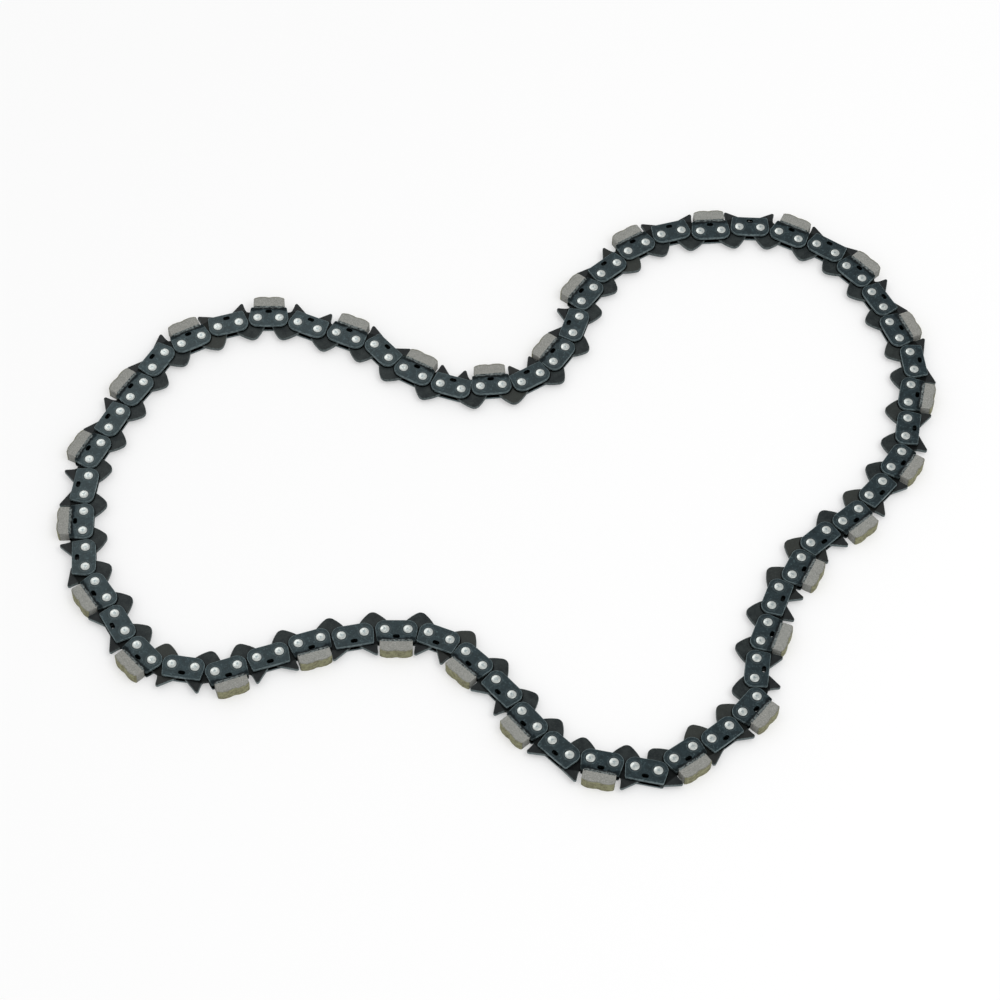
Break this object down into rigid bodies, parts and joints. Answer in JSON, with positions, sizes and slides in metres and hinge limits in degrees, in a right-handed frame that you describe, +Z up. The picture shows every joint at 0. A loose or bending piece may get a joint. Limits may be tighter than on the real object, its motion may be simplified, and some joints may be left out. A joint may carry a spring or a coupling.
{
  "type": "diamond saw chain",
  "caption": "Closed loop of saw chain lying on its side: cutters with welded diamond segments take turns with plain tie straps, joined by drive links with a tang and a bumper horn",
  "frame": {"origin": "middle of the chain's bounding box, on the surface it lies on", "axes": "+Z up, through the width of the chain; +X along the longer side of the loop as it lies; +Y along the shorter side"},
  "size_m": [0.3952, 0.3127, 0.0057],
  "materials": {
    "plate_steel": "blue-grey oxide on punched steel plate, with paler worn edges",
    "drive_steel": "matt charcoal oxide on punched steel",
    "sintered_segment": "matt sintered metal with fine diamond grit",
    "rivet_steel": "bare spun steel heads"
  },
  "bodies": {
    "stretch_1": {"cutter_plates_1": "plate_steel", "tie_straps_1": "plate_steel", "diamond_segments_1": "sintered_segment", "drive_links_1": "drive_steel", "rivets_1": "rivet_steel"},
    "stretch_2": {"cutter_plates_2": "plate_steel", "tie_straps_2": "plate_steel", "diamond_segments_2": "sintered_segment", "drive_links_2": "drive_steel", "rivets_2": "rivet_steel"},
    "stretch_3": {"cutter_plates_3": "plate_steel", "tie_straps_3": "plate_steel", "diamond_segments_3": "sintered_segment", "drive_links_3": "drive_steel", "rivets_3": "rivet_steel"},
    "stretch_4": {"cutter_plates_4": "plate_steel", "tie_straps_4": "plate_steel", "diamond_segments_4": "sintered_segment", "drive_links_4": "drive_steel", "rivets_4": "rivet_steel"},
    "stretch_5": {"cutter_plates_5": "plate_steel", "tie_straps_5": "plate_steel", "diamond_segments_5": "sintered_segment", "drive_links_5": "drive_steel", "rivets_5": "rivet_steel"},
    "stretch_6": {"cutter_plates_6": "plate_steel", "tie_straps_6": "plate_steel", "diamond_segments_6": "sintered_segment", "drive_links_6": "drive_steel", "rivets_6": "rivet_steel"},
    "stretch_7": {"cutter_plates_7": "plate_steel", "tie_straps_7": "plate_steel", "diamond_segments_7": "sintered_segment", "drive_links_7": "drive_steel", "rivets_7": "rivet_steel"},
    "stretch_8": {"cutter_plates_8": "plate_steel", "tie_straps_8": "plate_steel", "diamond_segments_8": "sintered_segment", "drive_links_8": "drive_steel", "rivets_8": "rivet_steel"},
    "stretch_9": {"cutter_plates_9": "plate_steel", "tie_straps_9": "plate_steel", "diamond_segments_9": "sintered_segment", "drive_links_9": "drive_steel", "rivets_9": "rivet_steel"},
    "stretch_10": {"cutter_plates_10": "plate_steel", "tie_straps_10": "plate_steel", "diamond_segments_10": "sintered_segment", "drive_links_10": "drive_steel", "rivets_10": "rivet_steel"},
    "stretch_11": {"cutter_plates_11": "plate_steel", "tie_straps_11": "plate_steel", "diamond_segments_11": "sintered_segment", "drive_links_11": "drive_steel", "rivets_11": "rivet_steel"},
    "stretch_12": {"cutter_plates_12": "plate_steel", "tie_straps_12": "plate_steel", "diamond_segments_12": "sintered_segment", "drive_links_12": "drive_steel", "rivets_12": "rivet_steel"}
  },
  "joints": [
    {"name": "rivet_pivot_2", "type": "hinge", "parent": "stretch_1", "child": "stretch_2", "pos_m": [0.1877, 0.066, 0.00285], "axis": [0, 0, 1], "range_deg": [-10, 20]},
    {"name": "rivet_pivot_3", "type": "hinge", "parent": "stretch_2", "child": "stretch_3", "pos_m": [0.1517, -0.019, 0.00285], "axis": [0, 0, 1], "range_deg": [-20, 10]},
    {"name": "rivet_pivot_4", "type": "hinge", "parent": "stretch_3", "child": "stretch_4", "pos_m": [0.0997, -0.125, 0.00285], "axis": [0, 0, 1], "range_deg": [0, 25]},
    {"name": "rivet_pivot_5", "type": "hinge", "parent": "stretch_4", "child": "stretch_5", "pos_m": [-0.0138, -0.093, 0.00285], "axis": [0, 0, 1], "range_deg": [-25, 0]},
    {"name": "rivet_pivot_6", "type": "hinge", "parent": "stretch_5", "child": "stretch_6", "pos_m": [-0.0768, -0.0885, 0.00285], "axis": [0, 0, 1], "range_deg": [-20, 0]},
    {"name": "rivet_pivot_7", "type": "hinge", "parent": "stretch_6", "child": "stretch_7", "pos_m": [-0.1298, -0.1055, 0.00285], "axis": [0, 0, 1], "range_deg": [0, 20]},
    {"name": "rivet_pivot_8", "type": "hinge", "parent": "stretch_7", "child": "stretch_8", "pos_m": [-0.1868, -0.019, 0.00285], "axis": [0, 0, 1], "range_deg": [-10, 20]},
    {"name": "rivet_pivot_9", "type": "hinge", "parent": "stretch_8", "child": "stretch_9", "pos_m": [-0.1508, 0.066, 0.00285], "axis": [0, 0, 1], "range_deg": [-20, 10]},
    {"name": "rivet_pivot_10", "type": "hinge", "parent": "stretch_9", "child": "stretch_10", "pos_m": [-0.1068, 0.083, 0.00285], "axis": [0, 0, 1], "range_deg": [0, 25]},
    {"name": "rivet_pivot_11", "type": "hinge", "parent": "stretch_10", "child": "stretch_11", "pos_m": [0.0067, 0.051, 0.00285], "axis": [0, 0, 1], "range_deg": [-25, 0]},
    {"name": "rivet_pivot_12", "type": "hinge", "parent": "stretch_11", "child": "stretch_12", "pos_m": [0.0552, 0.1295, 0.00285], "axis": [0, 0, 1], "range_deg": [-20, 0]}
  ],
  "couplings": [
    {"joint": "rivet_pivot_3", "follows": "rivet_pivot_2", "ratio": -1},
    {"joint": "rivet_pivot_5", "follows": "rivet_pivot_4", "ratio": -1},
    {"joint": "rivet_pivot_7", "follows": "rivet_pivot_6", "ratio": -1},
    {"joint": "rivet_pivot_8", "follows": "rivet_pivot_2", "ratio": 1},
    {"joint": "rivet_pivot_9", "follows": "rivet_pivot_2", "ratio": -1},
    {"joint": "rivet_pivot_10", "follows": "rivet_pivot_4", "ratio": 1},
    {"joint": "rivet_pivot_11", "follows": "rivet_pivot_4", "ratio": -1},
    {"joint": "rivet_pivot_12", "follows": "rivet_pivot_6", "ratio": 1}
  ]
}
